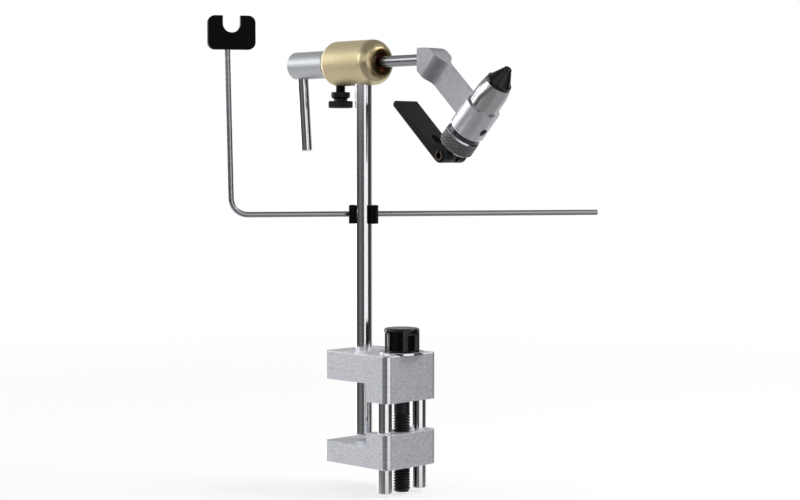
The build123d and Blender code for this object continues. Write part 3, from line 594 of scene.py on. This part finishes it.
trims = {"rod_clip": shortenArm}
blockMetals = [tumbledAluminium, burnishedCorner]
deburred = {
    "rod_clip": ("rodClipMoulded", "clip", "black_matte_plastic", [mattePlastic], 0.5),
    "bobbin_cradle": ("bobbinCradleMoulded", "cradle", "black_matte_plastic", [mattePlastic], 0.7),
    "upper_jaw": ("upperJawDeburred", "clamp", "satin_aluminium", blockMetals, 0.25),
    "lower_jaw": ("lowerJawDeburred", "lower_clamp", "satin_aluminium", blockMetals, 0.25),
    "jaw_arm": ("jawArmDeburred", "rotor", "satin_aluminium", [blastedAluminium], 0.4),
}
cornerLean = 0.12  # how far a face turns from a block's sides to count as its rounded corner
for node, (name, body, slotName, materials, width) in deburred.items():
    piece = softEdged(node, name, body, materials, width, trim=trims.get(node))
    for face in piece.data.polygons if burnishedCorner in materials else []:
        leans = abs(face.normal.x) > cornerLean and abs(face.normal.y) > cornerLean
        face.material_index = int(leans)
softEdged("cam_lever", "camLeverDeburred", "lever",
          [blackAnodised, wornEdge], 0.35, edgeSlot=1)
print("deburred pieces made")


# Stage

stage = {"floor": -63.4, "floorSize": 6.0, "white": "#FFFFFF", "cameraBearing": 45.0}


def makeFloorPaper():
    # white studio paper: it goes to pure white away from the object, with the shadow kept near it
    nearWhite = {"From Min": 0.2, "From Max": 0.9, "To Min": 0.7, "To Max": 1.0}
    grainSize = 1.5 * mm
    material, tree = emptyMaterial("studioPaper")
    path = addNode(tree, "ShaderNodeLightPath")
    place = addNode(tree, "ShaderNodeNewGeometry").outputs["Position"]
    reach = addNode(tree, "ShaderNodeVectorMath", {"operation": "LENGTH"}, {0: place})
    far = addNode(tree, "ShaderNodeMapRange", nearWhite, {"Value": reach.outputs["Value"]})
    share = addNode(tree, "ShaderNodeMath", {"operation": "MULTIPLY"},
                    {0: path.outputs["Is Camera Ray"], 1: far.outputs["Result"]})
    grain = addNode(tree, "ShaderNodeTexNoise",
                    {"Scale": 1 / grainSize, "Detail": 2.0}, {"Vector": place})
    tone = addNode(tree, "ShaderNodeValToRGB", links={"Fac": grain.outputs["Fac"]})
    tone.color_ramp.elements[0].color = hexColour("#F0F0F0")
    tone.color_ramp.elements[1].color = hexColour("#F8F8F8")
    paper = addNode(tree, "ShaderNodeBsdfDiffuse", links={"Color": tone.outputs["Color"]})
    glow = addNode(tree, "ShaderNodeEmission",
                   {"Color": hexColour(stage["white"]), "Strength": 1.0})
    mix = addNode(tree, "ShaderNodeMixShader",
                  links={0: share.outputs[0], 1: paper.outputs[0], 2: glow.outputs[0]})
    addNode(tree, "ShaderNodeOutputMaterial", links={"Surface": mix.outputs[0]})
    return material


def makeCard(name, level):
    # studio card: only its tone counts, as the band that polished metal mirrors
    material, tree = emptyMaterial(name)
    glow = addNode(tree, "ShaderNodeEmission",
                   {"Color": hexColour(stage["white"]), "Strength": level})
    addNode(tree, "ShaderNodeOutputMaterial", links={"Surface": glow.outputs[0]})
    return material


def standCard(name, rows, level):
    # a sheet through rows of points, seen in mirrors only
    build = bmesh.new()
    columns = [[build.verts.new(spot) for spot in row] for row in rows]
    for left, after in zip(columns, columns[1:]):
        for i in range(len(left) - 1):
            build.faces.new((left[i], after[i], after[i + 1], left[i + 1]))
    mesh = bpy.data.meshes.new(name)
    build.to_mesh(mesh)
    build.free()
    mesh.materials.append(makeCard(name + "Paper", level))
    card = addObject(name, mesh)
    card.visible_camera = card.visible_diffuse = card.visible_shadow = False


def fromCamera(bearing):
    angle = math.radians(bearing - stage["cameraBearing"])
    return Vector((math.cos(angle), math.sin(angle), 0))


half, floorHeight = stage["floorSize"] / 2, stage["floor"] * mm
floorMesh = bpy.data.meshes.new("studioFloor")
floorMesh.from_pydata([(x * half, y * half, floorHeight)
                       for x, y in ((-1, -1), (1, -1), (1, 1), (-1, 1))], [], [(0, 1, 2, 3)])
floorMesh.materials.append(makeFloorPaper())
floor = addObject("studioFloor", floorMesh)
floor.visible_glossy = False

# Cards round the object: bearings in degrees from the camera, plus to its right, then top and level

cards = {
    "cardRim": (-150, -118, 2.2, 3.2), "cardFarLeft": (-112, -62, 0.27, 0.08),
    "cardLeft": (-62, -28, 0.27, 0.2), "cardNearLeft": (-28, 8, 0.27, 0.1),
    "cardBright": (10, 60, 1.3, 1.45), "cardRight": (63, 128, 1.7, 0.055),
    "cardBack": (142, 200, 0.8, 0.35),
}
cardRadius, cardLow, cardStep = 2.0, -0.43, 5
for name, (start, end, high, level) in cards.items():
    bearings = spaced(start, end, cardStep)
    standCard(name, [[fromCamera(b) * cardRadius + up * z for z in (cardLow, high)]
                     for b in bearings], level)

# Mats on the ground: bearings and level

mats = {"cardUnderFront": (-60, 15, 0.4), "cardUnderRight": (15, 128, 0.55)}
matInner, matStep = 0.02, 6
for name, (start, end, level) in mats.items():
    bearings = spaced(start, end, matStep)
    standCard(name, [[fromCamera(b) * reach + up * cardLow for reach in (matInner, cardRadius)]
                     for b in bearings], level)

ceiling = {"height": 0.75, "x": (-1.3, 0.6), "y": (-0.8, 1.2), "level": 0.33}
standCard("cardCeiling", [[Vector((x, y, ceiling["height"])) for y in ceiling["y"]]
                          for x in ceiling["x"]], ceiling["level"])

# World: white to the camera and in mirrors, dimmer as light on the object

worldLight, worldSeen = 0.45, 1.0
world = bpy.data.worlds.new("whiteStudio")
bpy.context.scene.world = world
world.use_nodes = True
tree = world.node_tree
tree.nodes.clear()
path = addNode(tree, "ShaderNodeLightPath")
seen = addNode(tree, "ShaderNodeMath", {"operation": "MAXIMUM"},
               {0: path.outputs["Is Camera Ray"], 1: path.outputs["Is Glossy Ray"]})
seenOrThrough = addNode(tree, "ShaderNodeMath", {"operation": "MAXIMUM"},
                        {0: seen.outputs[0], 1: path.outputs["Is Transmission Ray"]})
level = addNode(tree, "ShaderNodeMapRange", {"To Min": worldLight, "To Max": worldSeen},
                {"Value": seenOrThrough.outputs[0]})
sky = addNode(tree, "ShaderNodeBackground", {"Color": hexColour(stage["white"])},
              {"Strength": level.outputs["Result"]})
addNode(tree, "ShaderNodeOutputWorld", links={"Surface": sky.outputs[0]})

# Lamps: place and size in metres, then power in watts

lamps = {
    "leftBox": ((-0.72, -0.85, 0.62), (0.9, 0.7), 5),
    "rightBox": ((0.6, 0.56, 0.8), (0.5, 0.5), 8),
    "topBox": ((-0.1, 0.1, 1.2), (0.9, 0.9), 2.5),
}
lampAim = Vector((0.02, 0, 0.12))
for name, (spot, size, power) in lamps.items():
    lamp = bpy.data.lights.new(name, "AREA")
    lamp.shape = "RECTANGLE"
    lamp.size, lamp.size_y = size
    lamp.energy = power
    rig = addObject(name, lamp)
    rig.location = spot
    rig.rotation_euler = (lampAim - Vector(spot)).to_track_quat("-Z", "Y").to_euler()

# Camera: fitted to the clamp's corners and the stem

view = {"spot": (747.8, -718.5, 127.1), "down": 3.0, "lens": 81.93, "sensor": 36, "near": 0.01}
turn, dip = math.radians(stage["cameraBearing"]), math.radians(view["down"])
ahead = Vector((-math.sin(turn) * math.cos(dip), math.cos(turn) * math.cos(dip), -math.sin(dip)))
lens = bpy.data.cameras.new("photoCamera")
lens.sensor_width = view["sensor"]
lens.lens = view["lens"]
lens.clip_start = view["near"]
camera = addObject("photoCamera", lens)
camera.location = Vector(view["spot"]) * mm
camera.rotation_euler = ahead.to_track_quat("-Z", "Y").to_euler()
bpy.context.scene.camera = camera
bpy.context.scene.view_settings.view_transform = "Standard"
print("stage and camera made")
